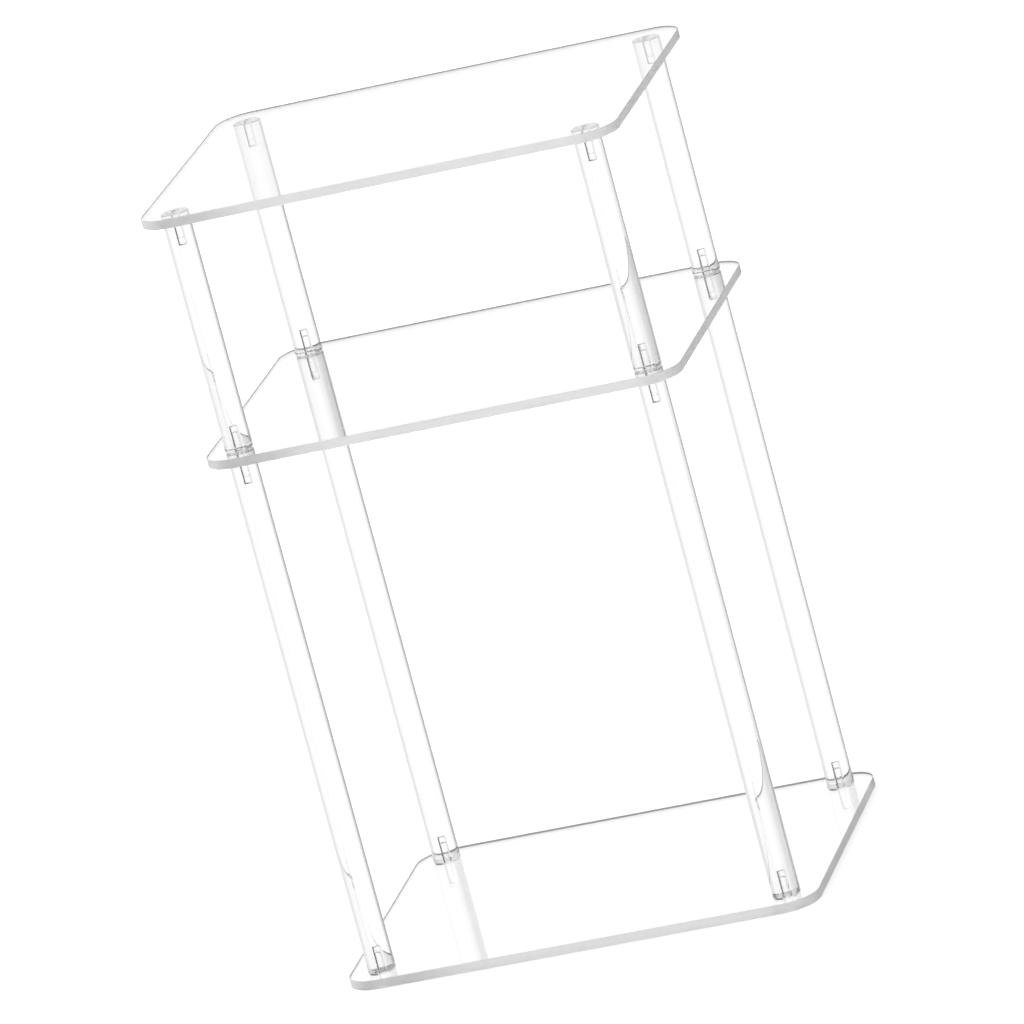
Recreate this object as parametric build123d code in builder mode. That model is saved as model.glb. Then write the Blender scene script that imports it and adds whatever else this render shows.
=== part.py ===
from build123d import *
import os

# Three-tier clear acrylic display rack: three round-cornered shelves, joined at
# their corners by solid round posts. The lower posts are let into the base shelf,
# and studs held in the shelves locate every post.
# Frame: origin at the middle of the footprint on the floor, +X to the right,
# +Y to the back, +Z up. Millimetres.

# ---------- driving dimensions ----------
shelf_width = 520
shelf_depth = 425
shelf_thickness = 10
corner_radius = 36
arris_radius = 0.5  # polished edge of each shelf

post_diameter = 30
lower_post_length = 585
upper_post_length = 255
post_end_radius = 1.5
post_seat_depth = 8  # how far a lower post is let into the base shelf
seat_clearance = 0.1  # radial, between a post and its seat

stud_diameter = 6
stud_end_radius = 1.2
shelf_clearance = 0.05  # radial, between a stud and its hole in a shelf
post_clearance = 0.4  # radial, between a stud and its hole in a post
socket_end_radius = 1.4
post_socket_depth = 27.5
shelf_socket_depth = 7
stud_reach = 20  # how far a stud enters a post

# ---------- worked out from them ----------
base_top = shelf_thickness
seat_floor = base_top - post_seat_depth
middle_bottom = seat_floor + lower_post_length
middle_top = middle_bottom + shelf_thickness
top_bottom = middle_top + upper_post_length

post_x = shelf_width / 2 - corner_radius
post_y = shelf_depth / 2 - corner_radius
corners = {
    "front_left": (-post_x, -post_y),
    "front_right": (post_x, -post_y),
    "back_left": (-post_x, post_y),
    "back_right": (post_x, post_y),
}

shelf_socket_radius = stud_diameter / 2 + shelf_clearance
post_socket_radius = stud_diameter / 2 + post_clearance

os.makedirs("parts", exist_ok=True)


def shelf_outline():
    """The rounded rectangle that all three shelves share."""
    RectangleRounded(shelf_width, shelf_depth, corner_radius)


def corner_circles(radius):
    """One circle over each corner post, for the holes of a shelf."""
    with Locations(*corners.values()):
        Circle(radius)


def polished_edges(shelf):
    """The outer edges of a shelf's two faces, without the rims of its holes."""
    flat_faces = shelf.faces().filter_by(Axis.Z)
    faces = [flat_faces.sort_by(Axis.Z)[0], flat_faces.sort_by(Axis.Z)[-1]]
    return [edge for face in faces for edge in face.outer_wire().edges()]


def finish(piece, name):
    """Label a finished piece and write it under its own name."""
    piece.part.label = name
    export_step(piece.part, f"parts/{name}.step")
    print(f"{name:32s} {piece.part.volume / 1000:9.2f} cm3")


# ---------- base shelf: stands on the floor, a seat for each post and a stud hole in its floor ----------
with BuildPart() as base_shelf:
    with BuildSketch(Plane.XY):
        shelf_outline()
    extrude(amount=shelf_thickness)
    fillet(polished_edges(base_shelf), arris_radius)
    with BuildSketch(Plane.XY.offset(base_top)):
        corner_circles(post_diameter / 2 + seat_clearance)
    extrude(amount=-post_seat_depth, mode=Mode.SUBTRACT)
    with BuildSketch(Plane.XY):
        corner_circles(shelf_socket_radius)
    extrude(amount=seat_floor, mode=Mode.SUBTRACT)

finish(base_shelf, "base_shelf")

# ---------- middle shelf: clamped between posts, holes right through ----------
with BuildPart() as middle_shelf:
    with BuildSketch(Plane.XY.offset(middle_bottom)):
        shelf_outline()
    extrude(amount=shelf_thickness)
    fillet(polished_edges(middle_shelf), arris_radius)
    with BuildSketch(Plane.XY.offset(middle_bottom)):
        corner_circles(shelf_socket_radius)
    extrude(amount=shelf_thickness, mode=Mode.SUBTRACT)

finish(middle_shelf, "middle_shelf")

# ---------- top shelf: blind holes from below, so its upper face is whole ----------
with BuildPart() as top_shelf:
    with BuildSketch(Plane.XY.offset(top_bottom)):
        shelf_outline()
    extrude(amount=shelf_thickness)
    fillet(polished_edges(top_shelf), arris_radius)
    with BuildSketch(Plane.XY.offset(top_bottom)):
        corner_circles(shelf_socket_radius)
    extrude(amount=shelf_socket_depth, mode=Mode.SUBTRACT)

finish(top_shelf, "top_shelf")

# ---------- posts: solid rod, a blind stud hole in each end ----------
post_tiers = {
    "lower": (seat_floor, lower_post_length, post_socket_depth + post_seat_depth),
    "upper": (middle_top, upper_post_length, post_socket_depth),
}

for tier, (bottom, length, foot_socket_depth) in post_tiers.items():
    for corner, (x, y) in corners.items():
        with BuildPart() as post:
            with BuildSketch(Plane((x, y, bottom))):
                Circle(post_diameter / 2)
            extrude(amount=length)
            fillet(post.edges().filter_by(GeomType.CIRCLE), post_end_radius)
            with BuildSketch(Plane((x, y, bottom))):
                Circle(post_socket_radius)
            extrude(amount=foot_socket_depth, mode=Mode.SUBTRACT)
            with BuildSketch(Plane((x, y, bottom + length))):
                Circle(post_socket_radius)
            extrude(amount=-post_socket_depth, mode=Mode.SUBTRACT)
            socket_floors = post.faces().filter_by(Axis.Z).sort_by(Axis.Z)[1:3]
            fillet(socket_floors.edges(), socket_end_radius)

        finish(post, f"{tier}_post_{corner}")

# ---------- studs: smooth dowels, one across each joint of post and shelf ----------
stud_tiers = {
    "base": (0, base_top + stud_reach),
    "middle": (middle_bottom - stud_reach, middle_top + stud_reach),
    "top": (top_bottom - stud_reach, top_bottom + shelf_socket_depth),
}

for tier, (bottom, top) in stud_tiers.items():
    for corner, (x, y) in corners.items():
        with BuildPart() as stud:
            with BuildSketch(Plane((x, y, bottom))):
                Circle(stud_diameter / 2)
            extrude(amount=top - bottom)
            fillet(stud.edges().filter_by(GeomType.CIRCLE), stud_end_radius)

        finish(stud, f"{tier}_stud_{corner}")

print("overall height", top_bottom + shelf_thickness)
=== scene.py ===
"""A three-tier clear acrylic brochure rack on a pale studio floor.

Every piece is rebuilt as a fine mesh with exact surface normals, because light bends
through all of them, and takes the place of the CAD node it is named after.
"""

import math

import bpy
from mathutils import Matrix, Vector


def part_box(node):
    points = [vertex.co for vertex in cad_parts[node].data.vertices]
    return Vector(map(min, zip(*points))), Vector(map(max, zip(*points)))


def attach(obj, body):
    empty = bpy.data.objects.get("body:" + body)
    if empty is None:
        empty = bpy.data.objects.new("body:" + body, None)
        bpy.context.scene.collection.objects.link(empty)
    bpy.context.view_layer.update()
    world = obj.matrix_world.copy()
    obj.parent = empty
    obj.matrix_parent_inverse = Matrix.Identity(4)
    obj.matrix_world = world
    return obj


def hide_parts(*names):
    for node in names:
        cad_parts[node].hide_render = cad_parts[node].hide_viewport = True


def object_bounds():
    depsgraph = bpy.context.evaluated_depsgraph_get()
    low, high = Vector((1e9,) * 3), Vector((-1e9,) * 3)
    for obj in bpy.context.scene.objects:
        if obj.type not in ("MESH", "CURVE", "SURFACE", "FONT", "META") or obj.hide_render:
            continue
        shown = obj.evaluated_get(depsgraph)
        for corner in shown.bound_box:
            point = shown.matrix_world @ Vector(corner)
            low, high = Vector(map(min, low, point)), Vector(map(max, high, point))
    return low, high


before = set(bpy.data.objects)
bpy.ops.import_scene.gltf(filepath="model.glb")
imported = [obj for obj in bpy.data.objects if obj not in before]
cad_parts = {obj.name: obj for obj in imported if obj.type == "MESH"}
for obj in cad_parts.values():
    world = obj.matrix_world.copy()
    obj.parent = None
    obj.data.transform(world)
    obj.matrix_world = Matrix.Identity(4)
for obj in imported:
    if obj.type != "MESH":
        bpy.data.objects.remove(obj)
cad_low, cad_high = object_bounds()

MM = 0.001

# ---------- the joinery, as the CAD has it ----------
CORNERS = ("front_left", "front_right", "back_left", "back_right")
SHELVES = ("base_shelf", "middle_shelf", "top_shelf")
POST_TIERS = ("lower", "upper")
STUD_TIERS = ("base", "middle", "top")

CORNER_RADIUS = 36 * MM
ARRIS_RADIUS = 0.5 * MM
POST_END_RADIUS = 1.5 * MM
POST_SOCKET_RADIUS = 3.4 * MM
SHELF_SOCKET_RADIUS = 3.05 * MM
POST_SEAT_RADIUS = 15.1 * MM
POST_SEAT_DEPTH = 8 * MM
SOCKET_END_RADIUS = 1.4 * MM
POST_SOCKET_DEPTH = 27.5 * MM  # a lower post's foot socket is deeper by the seat
SHELF_SOCKET_DEPTH = 7 * MM  # in the top shelf's underside
STUD_END_RADIUS = 1.2 * MM
AIR_FILM = 0.06 * MM  # at each end of a post, because touching clear faces render as one

# ---------- mesh fineness ----------
ROUND_STEPS = 192  # round a post or a hole
STUD_STEPS = 96  # round a stud
CORNER_STEPS = 40  # round one corner of a shelf
FILLET_STEPS = 6  # across a rounded edge


# ---------- meshes ----------
class MeshMaker:
    """Collects faces whose corners each have their own exact normal."""

    def __init__(self):
        self.points = []
        self.faces = []
        self.normals = []
        self.materials = []
        self.known = {}

    def point(self, place):
        key = tuple(Vector(place))
        if key not in self.known:
            self.known[key] = len(self.points)
            self.points.append(key)
        return self.known[key]

    def face(self, places, normals, material=0):
        ids = [self.point(place) for place in places]
        kept = [i for i in range(len(ids)) if ids[i] != ids[i - 1]]
        if len(kept) < 3:
            return
        self.faces.append([ids[i] for i in kept])
        self.normals.extend(tuple(normals[i]) for i in kept)
        self.materials.append(material)

    def build(self, name, *materials):
        mesh = bpy.data.meshes.new(name)
        mesh.from_pydata(self.points, [], self.faces)
        mesh.polygons.foreach_set("use_smooth", [True] * len(mesh.polygons))
        mesh.normals_split_custom_set(self.normals)
        mesh.polygons.foreach_set("material_index", self.materials)
        for material in materials:
            mesh.materials.append(material)
        mesh.validate(verbose=False)
        mesh.update()
        piece = bpy.data.objects.new(name, mesh)
        bpy.context.scene.collection.objects.link(piece)
        return piece


def straight(start, end):
    """A straight run of a turned profile, from (r, z) to (r, z), solid on its left."""
    along = Vector((end[0] - start[0], end[1] - start[1])).normalized()
    normal = (along.y, -along.x)
    return [(start, normal), (end, normal)]


def arc(centre, radius, start_deg, end_deg, steps, inward=False):
    """A round run of a turned profile. inward is for a hollow corner."""
    run = []
    for i in range(steps + 1):
        angle = math.radians(start_deg + (end_deg - start_deg) * i / steps)
        way = (math.cos(angle), math.sin(angle))
        place = (centre[0] + radius * way[0], centre[1] + radius * way[1])
        run.append((place, (-way[0], -way[1]) if inward else way))
    return run


def turned(maker, runs, x, y, steps):
    """Turns the profile's runs round the upright line through (x, y)."""
    for run in runs:
        for (low, low_normal), (high, high_normal) in zip(run, run[1:]):
            for i in range(steps):
                spots, normals = [], []
                for (r, z), (nr, nz), turn in (
                    (low, low_normal, i),
                    (low, low_normal, i + 1),
                    (high, high_normal, i + 1),
                    (high, high_normal, i),
                ):
                    angle = 2 * math.pi * (turn % steps) / steps
                    c, s = math.cos(angle), math.sin(angle)
                    spots.append((x + r * c, y + r * s, z))
                    normals.append((nr * c, nr * s, nz))
                maker.face(spots, normals)


def make_post(name, foot_socket, material):
    """Solid rod with rounded ends and a blind stud hole in each.

    foot_socket is the depth of the lower hole.
    """
    low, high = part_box(name)
    x, y = (low.x + high.x) / 2, (low.y + high.y) / 2
    radius = (high.x - low.x) / 2
    bottom, top = low.z + AIR_FILM, high.z - AIR_FILM
    floor_low = low.z + foot_socket
    floor_high = high.z - POST_SOCKET_DEPTH
    hole, bend = POST_SOCKET_RADIUS, SOCKET_END_RADIUS
    roll = POST_END_RADIUS
    rim = radius - roll
    rod = [
        straight((hole, bottom), (rim, bottom)),
        arc((rim, bottom + roll), roll, -90, 0, FILLET_STEPS),
        straight((radius, bottom + roll), (radius, top - roll)),
        arc((rim, top - roll), roll, 0, 90, FILLET_STEPS),
        straight((rim, top), (hole, top)),
    ]
    bores = [
        straight((0, floor_low), (hole - bend, floor_low)),
        arc((hole - bend, floor_low - bend), bend, 90, 0, FILLET_STEPS, inward=True),
        straight((hole, floor_low - bend), (hole, bottom)),
        straight((hole, top), (hole, floor_high + bend)),
        arc((hole - bend, floor_high + bend), bend, 0, -90, FILLET_STEPS, inward=True),
        straight((hole - bend, floor_high), (0, floor_high)),
    ]
    maker = MeshMaker()
    turned(maker, rod + bores, x, y, ROUND_STEPS)
    return maker.build("clear_" + name, material)


def make_stud(name, material):
    """Smooth dowel with rounded ends."""
    low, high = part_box(name)
    x, y = (low.x + high.x) / 2, (low.y + high.y) / 2
    radius, bend = (high.x - low.x) / 2, STUD_END_RADIUS
    runs = [
        straight((0, low.z), (radius - bend, low.z)),
        arc((radius - bend, low.z + bend), bend, -90, 0, FILLET_STEPS),
        straight((radius, low.z + bend), (radius, high.z - bend)),
        arc((radius - bend, high.z - bend), bend, 0, 90, FILLET_STEPS),
        straight((radius - bend, high.z), (0, high.z)),
    ]
    maker = MeshMaker()
    turned(maker, runs, x, y, STUD_STEPS)
    return maker.build("clear_" + name, material)


def outline(low, high, inset):
    """Points and outward normals round a shelf's edge, moved in by inset."""
    spots = []
    radius = CORNER_RADIUS
    for sign_x, sign_y, first in ((1, 1, 0), (-1, 1, 90), (-1, -1, 180), (1, -1, 270)):
        x = (high.x if sign_x > 0 else low.x) - sign_x * radius
        y = (high.y if sign_y > 0 else low.y) - sign_y * radius
        for i in range(CORNER_STEPS + 1):
            angle = math.radians(first + 90 * i / CORNER_STEPS)
            c, s = math.cos(angle), math.sin(angle)
            spots.append(((x + (radius - inset) * c, y + (radius - inset) * s), (c, s)))
    return spots


def socket_centres():
    """The plan positions of the four posts."""
    centres = []
    for corner in CORNERS:
        low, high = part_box(f"lower_post_{corner}")
        centres.append(((low.x + high.x) / 2, (low.y + high.y) / 2))
    return centres


def pierced_face(maker, rim, hole, centres, z, up):
    """A flat face at height z inside the outline rim, with a round hole at each centre."""
    curve = bpy.data.curves.new("face_outline", "CURVE")
    curve.dimensions = "2D"
    curve.fill_mode = "BOTH"
    loops = [[place for place, _ in rim]]
    for x, y in centres:
        turns = [2 * math.pi * i / ROUND_STEPS for i in range(ROUND_STEPS)]
        loops.append([(x + hole * math.cos(t), y + hole * math.sin(t)) for t in turns])
    for loop in loops:
        spline = curve.splines.new("POLY")
        spline.points.add(len(loop) - 1)
        for point, (x, y) in zip(spline.points, loop):
            point.co = (x, y, 0, 1)
        spline.use_cyclic_u = True
    holder = bpy.data.objects.new("face_outline", curve)
    filled = bpy.data.meshes.new_from_object(holder)
    normal = (0, 0, 1 if up else -1)
    for polygon in filled.polygons:
        corners = [filled.vertices[i].co for i in polygon.vertices]
        spots = [(corner.x, corner.y, z) for corner in corners]
        if (polygon.normal.z > 0) != up:
            spots.reverse()
        maker.face(spots, [normal] * len(spots))
    bpy.data.objects.remove(holder)
    bpy.data.curves.remove(curve)
    bpy.data.meshes.remove(filled)


def make_shelf(name, steps, material, edge_material):
    """Round-cornered sheet with rolled edges.

    Each corner hole is a list of steps from the top down: (radius, lower height, upper height).
    """
    low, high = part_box(name)
    bend = ARRIS_RADIUS
    levels = []  # (inset, height, normal's share outward, normal's share up)
    for first, middle in ((-90, low.z + bend), (0, high.z - bend)):
        for i in range(FILLET_STEPS + 1):
            angle = math.radians(first + 90 * i / FILLET_STEPS)
            c, s = math.cos(angle), math.sin(angle)
            levels.append((bend - bend * c, middle + bend * s, c, s))
    maker = MeshMaker()
    for lower, upper in zip(levels, levels[1:]):
        ring_low, ring_high = outline(low, high, lower[0]), outline(low, high, upper[0])
        for i in range(len(ring_low)):
            j = (i + 1) % len(ring_low)
            spots, normals = [], []
            for ring, level, k in (
                (ring_low, lower, i),
                (ring_low, lower, j),
                (ring_high, upper, j),
                (ring_high, upper, i),
            ):
                (x, y), (nx, ny) = ring[k]
                spots.append((x, y, level[1]))
                normals.append((nx * level[2], ny * level[2], level[3]))
            maker.face(spots, normals, 1)
    rim = outline(low, high, bend)
    centres = socket_centres()
    top_radius, _, hole_top = steps[0]
    foot_radius, hole_foot, _ = steps[-1]
    open_low, open_high = hole_foot <= low.z, hole_top >= high.z
    pierced_face(maker, rim, foot_radius, centres if open_low else [], low.z, up=False)
    pierced_face(maker, rim, top_radius, centres if open_high else [], high.z, up=True)
    runs = [straight((radius, upper), (radius, lower)) for radius, lower, upper in steps]
    for wide, narrow in zip(steps, steps[1:]):
        runs.append(straight((wide[0], wide[1]), (narrow[0], wide[1])))
    if not open_low:
        runs.append(straight((foot_radius, hole_foot), (0, hole_foot)))
    if not open_high:
        runs.append(straight((0, hole_top), (top_radius, hole_top)))
    for x, y in centres:
        turned(maker, runs, x, y, ROUND_STEPS)
    return maker.build("clear_" + name, material, edge_material)


# ---------- materials ----------
ACRYLIC_IOR = 1.49
HAZE_SPAN = (0.35, 0.75)  # noise values between which the polish goes from bright to dull
MARK_SPAN = (0.2, 0.8)  # noise values between which the marks go from darkest to clear
MARK_TONE = 0.985  # the marks' darkest tone
MARK_RELIEF = 0.15  # height of the marks beside that of the waves


def add(tree, kind, links=(), **settings):
    """Adds a shader node, sets its properties and plain inputs, and links what feeds it."""
    node = tree.nodes.new(kind)
    for name, value in settings.items():
        if hasattr(node, name):
            setattr(node, name, value)
        else:
            node.inputs[name.replace("_", " ")].default_value = value
    for socket, source in dict(links).items():
        tree.links.new(source, node.inputs[socket])
    return node


def remap(tree, value, span, result, **settings):
    """Takes value from the range span to the range result, clamped."""
    node = add(
        tree,
        "ShaderNodeMapRange",
        {"Value": value},
        From_Min=span[0],
        From_Max=span[1],
        To_Min=result[0],
        To_Max=result[1],
        **settings,
    )
    return node.outputs[0]


def stretched_noise(tree, place, stretch, scale, detail):
    """Noise whose grain is drawn out where stretch is small, in the part's own frame."""
    mapped = add(tree, "ShaderNodeMapping", {"Vector": place}, Scale=stretch)
    noise = add(
        tree, "ShaderNodeTexNoise", {"Vector": mapped.outputs[0]}, Scale=scale, Detail=detail
    )
    return noise.outputs["Fac"]


def acrylic(
    name, grain, grain_scale, ripple, ripple_scale, haze_scale, roughness, bump, clearness=1.0
):
    """Clear acrylic with fine marks, slow surface waves and clouds of slightly duller polish.

    grain and ripple are the stretch of the marks and the waves, bump is the relief's height in
    metres, and clearness is the share of light that passes.
    """
    material = bpy.data.materials.new(name)
    material.use_nodes = True
    tree = material.node_tree
    shader = tree.nodes["Principled BSDF"]
    shader.inputs["Transmission Weight"].default_value = clearness
    shader.inputs["IOR"].default_value = ACRYLIC_IOR
    place = add(tree, "ShaderNodeTexCoord").outputs["Object"]
    marks = stretched_noise(tree, place, grain, grain_scale, 2.0)
    waves = stretched_noise(tree, place, ripple, ripple_scale, 1.0)
    cloud = stretched_noise(tree, place, (1, 1, 1), haze_scale, 4.0)
    tree.links.new(remap(tree, cloud, HAZE_SPAN, roughness), shader.inputs["Roughness"])
    tree.links.new(remap(tree, marks, MARK_SPAN, (MARK_TONE, 1.0)), shader.inputs["Base Color"])
    relief = add(tree, "ShaderNodeMath", {0: marks, 2: waves}, operation="MULTIPLY_ADD")
    relief.inputs[1].default_value = MARK_RELIEF
    bumped = add(
        tree, "ShaderNodeBump", {"Height": relief.outputs[0]}, Strength=1.0, Distance=bump
    )
    tree.links.new(bumped.outputs[0], shader.inputs["Normal"])
    return material


shelf_acrylic = acrylic(
    "shelf_acrylic",
    grain=(1, 6, 1),
    grain_scale=900,
    ripple=(1, 1, 1),
    ripple_scale=22,
    haze_scale=14,
    roughness=(0.0, 0.012),
    bump=0.6e-6,
)
edge_acrylic = acrylic(  # the shelves' outer edges, left satin
    "edge_acrylic",
    grain=(1, 1, 0.12),
    grain_scale=1600,
    ripple=(1, 1, 1),
    ripple_scale=60,
    haze_scale=45,
    roughness=(0.5, 0.6),
    bump=8e-6,
    clearness=0.8,
)
post_acrylic = acrylic(
    "post_acrylic",
    grain=(1, 1, 0.01),
    grain_scale=1100,
    ripple=(1, 1, 0.05),
    ripple_scale=130,
    haze_scale=30,
    roughness=(0.0, 0.012),
    bump=1.5e-6,
)
stud_acrylic = acrylic(
    "stud_acrylic",
    grain=(1, 1, 0.02),
    grain_scale=1800,
    ripple=(1, 1, 0.1),
    ripple_scale=300,
    haze_scale=120,
    roughness=(0.0, 0.015),
    bump=0.8e-6,
)


# ---------- the rack ----------
def install(piece, node):
    """Puts a piece in the place of its CAD node."""
    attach(piece, "root")
    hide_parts(node)


base_low, base_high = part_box("base_shelf")
middle_low, middle_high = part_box("middle_shelf")
top_low, top_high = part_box("top_shelf")
seat_floor = base_high.z - POST_SEAT_DEPTH
shelf_holes = {
    "base_shelf": [
        (POST_SEAT_RADIUS, seat_floor, base_high.z),
        (SHELF_SOCKET_RADIUS, base_low.z, seat_floor),
    ],
    "middle_shelf": [(SHELF_SOCKET_RADIUS, middle_low.z, middle_high.z)],
    "top_shelf": [(SHELF_SOCKET_RADIUS, top_low.z, top_low.z + SHELF_SOCKET_DEPTH)],
}
for node in SHELVES:
    shelf = make_shelf(node, shelf_holes[node], shelf_acrylic, edge_acrylic)
    install(shelf, node)

foot_sockets = {"lower": POST_SOCKET_DEPTH + POST_SEAT_DEPTH, "upper": POST_SOCKET_DEPTH}
for tier in POST_TIERS:
    for corner in CORNERS:
        node = f"{tier}_post_{corner}"
        install(make_post(node, foot_sockets[tier], post_acrylic), node)

for tier in STUD_TIERS:
    for corner in CORNERS:
        node = f"{tier}_stud_{corner}"
        install(make_stud(node, stud_acrylic), node)


# ---------- floor ----------
FLOOR_REACH = 20
FLOOR_DROP = 0.2 * MM  # below the base shelf, which would otherwise touch it
FLOOR_TONE = 0.85
FLOOR_ROUGHNESS = 0.9

floor_mesh = bpy.data.meshes.new("floor")
floor_corners = [
    (x * FLOOR_REACH, y * FLOOR_REACH, 0) for x, y in ((-1, -1), (1, -1), (1, 1), (-1, 1))
]
floor_mesh.from_pydata(floor_corners, [], [(0, 1, 2, 3)])
floor = bpy.data.objects.new("floor", floor_mesh)
floor.location.z = -FLOOR_DROP
bpy.context.scene.collection.objects.link(floor)
floor_paint = bpy.data.materials.new("floor_paint")
floor_paint.use_nodes = True
floor_shader = floor_paint.node_tree.nodes["Principled BSDF"]
floor_shader.inputs["Base Color"].default_value = (FLOOR_TONE, FLOOR_TONE, FLOOR_TONE, 1)
floor_shader.inputs["Roughness"].default_value = FLOOR_ROUGHNESS
floor_mesh.materials.append(floor_paint)
# clear pieces bend and reflect the studio, not the floor
floor.visible_transmission = False
floor.visible_glossy = False

# ---------- the camera's place, which the studio is turned to ----------
CAMERA_AZIMUTH = 15.11
CAMERA_ELEVATION = 14.44
CAMERA_ROLL = 15.02
CAMERA_DISTANCE = 11.374
CAMERA_LENS = 377.7
SENSOR_WIDTH = 36
CLIP_END = 100
AIM_SHIFT = (-4.26 * MM, -4.67 * MM)  # right and up in the unrolled view
LIGHT_BOUNCES = 64  # enough for light to pass through every clear piece in its way

# ---------- the studio's light ----------
# The camera and matt surfaces see PLAIN white. What the clear pieces bend and reflect is
# rings of light round the rack, one above another.
# Each stop is (degrees to the right of the camera's aim, brightness).
PLAIN = 2.0
LOW = (
    (-180, 0.95), (-150, 0.9), (-122, 0.0), (-66, 0.0), (-59, 0.45), (-50, 0.6), (-41, 1.0),
    (0, 1.12), (36, 1.05), (50, 0.85), (90, 0.75), (126, 0.65), (150, 0.9), (180, 0.95),
)
LEVEL = ((-180, 0.35), (-120, 0.35), (-100, 1.05), (50, 1.05), (65, 0.35), (180, 0.35))
HIGH = (
    (-180, 0.65), (-108, 0.42), (-54, 0.22), (-29, 0.27), (-11, 0.7),
    (0, 0.9), (29, 0.98), (54, 0.9), (90, 0.8), (180, 0.65),
)
STEEP = ((-180, 0.5), (-150, 0.0), (-12, 0.0), (0, 1.0), (140, 1.0), (180, 0.5))
CAPS = 0.1  # brightness straight up and down, beside that of the steep ring
# how steep a direction is where one ring gives way to the next: 0 is level, 1 straight up
LOW_TO_LEVEL = (-0.17, -0.09)
LEVEL_TO_HIGH = (0.09, 0.17)
TO_STEEP = (0.46, 0.54)
TO_CAPS = (0.75, 0.95)

world = bpy.data.worlds.new("studio")
bpy.context.scene.world = world
world.use_nodes = True
sky = world.node_tree


def ring(tree, turn, stops):
    """Brightness round the horizon."""
    ramp = add(tree, "ShaderNodeValToRGB", {"Fac": turn})
    ramp.color_ramp.interpolation = "EASE"
    for i, (degrees, value) in enumerate(stops):
        at = 0.5 + degrees / 360
        if i < 2:
            stop = ramp.color_ramp.elements[i]
            stop.position = at
        else:
            stop = ramp.color_ramp.elements.new(at)
        stop.color = (value, value, value, 1)
    return ramp.outputs["Color"]


def mixer(tree, share, first):
    """A colour mix that starts at first, with its other colour left to set."""
    node = add(tree, "ShaderNodeMix", data_type="RGBA")
    tree.links.new(share, node.inputs[0])
    tree.links.new(first, node.inputs[6])
    return node


def blend(tree, height, span, first, second):
    """Eases from first to second while height goes through span."""
    share = remap(tree, height, span, (0, 1), interpolation_type="SMOOTHSTEP")
    node = mixer(tree, share, first)
    tree.links.new(second, node.inputs[7])
    return node.outputs[2]


way = add(sky, "ShaderNodeTexCoord").outputs["Generated"]
turned_way = add(
    sky,
    "ShaderNodeVectorRotate",
    {"Vector": way},
    rotation_type="Z_AXIS",
    Angle=-math.radians(CAMERA_AZIMUTH),
)
parts = add(sky, "ShaderNodeSeparateXYZ", {"Vector": turned_way.outputs[0]}).outputs
heading = add(sky, "ShaderNodeMath", {0: parts[0], 1: parts[1]}, operation="ARCTAN2")
whole_turn = add(sky, "ShaderNodeMath", {0: heading.outputs[0]}, operation="MULTIPLY_ADD")
whole_turn.inputs[1].default_value = 1 / (2 * math.pi)
whole_turn.inputs[2].default_value = 0.5
turn = whole_turn.outputs[0]
height = parts[2]
steepness = add(sky, "ShaderNodeMath", {0: height}, operation="ABSOLUTE").outputs[0]

lower_rings = blend(sky, height, LOW_TO_LEVEL, ring(sky, turn, LOW), ring(sky, turn, LEVEL))
rings = blend(sky, height, LEVEL_TO_HIGH, lower_rings, ring(sky, turn, HIGH))
all_rings = blend(sky, steepness, TO_STEEP, rings, ring(sky, turn, STEEP))
fade = remap(sky, steepness, TO_CAPS, (1, CAPS), interpolation_type="SMOOTHSTEP")
studio = add(sky, "ShaderNodeVectorMath", {0: all_rings, "Scale": fade}, operation="SCALE")
paths = add(sky, "ShaderNodeLightPath").outputs
plainly_seen = add(
    sky,
    "ShaderNodeMath",
    {0: paths["Is Camera Ray"], 1: paths["Is Diffuse Ray"]},
    operation="MAXIMUM",
)
surround = mixer(sky, plainly_seen.outputs[0], studio.outputs[0])
surround.inputs[7].default_value = (PLAIN, PLAIN, PLAIN, 1)
sky.links.new(surround.outputs[2], sky.nodes["Background"].inputs["Color"])


# ---------- camera ----------
def make_camera():
    data = bpy.data.cameras.new("camera")
    data.lens = CAMERA_LENS
    data.sensor_width = SENSOR_WIDTH
    data.dof.use_dof = False
    data.clip_end = CLIP_END
    camera = bpy.data.objects.new("camera", data)
    bpy.context.scene.collection.objects.link(camera)
    azimuth, elevation = math.radians(CAMERA_AZIMUTH), math.radians(CAMERA_ELEVATION)
    back = Vector(
        (
            math.sin(azimuth) * math.cos(elevation),
            -math.cos(azimuth) * math.cos(elevation),
            math.sin(elevation),
        )
    )
    right = Vector((math.cos(azimuth), math.sin(azimuth), 0))
    up = back.cross(right)
    aim = (cad_low + cad_high) / 2 + right * AIM_SHIFT[0] + up * AIM_SHIFT[1]
    level = Matrix((right, up, back)).transposed()
    roll = Matrix.Rotation(math.radians(-CAMERA_ROLL), 3, "Z")
    stand = Matrix.Translation(aim + back * CAMERA_DISTANCE)
    camera.matrix_world = stand @ (level @ roll).to_4x4()
    bpy.context.scene.camera = camera


make_camera()
bpy.context.scene.view_settings.view_transform = "Standard"
bpy.context.scene.cycles.max_bounces = LIGHT_BOUNCES
bpy.context.scene.cycles.transmission_bounces = LIGHT_BOUNCES
bpy.context.scene.cycles.glossy_bounces = LIGHT_BOUNCES
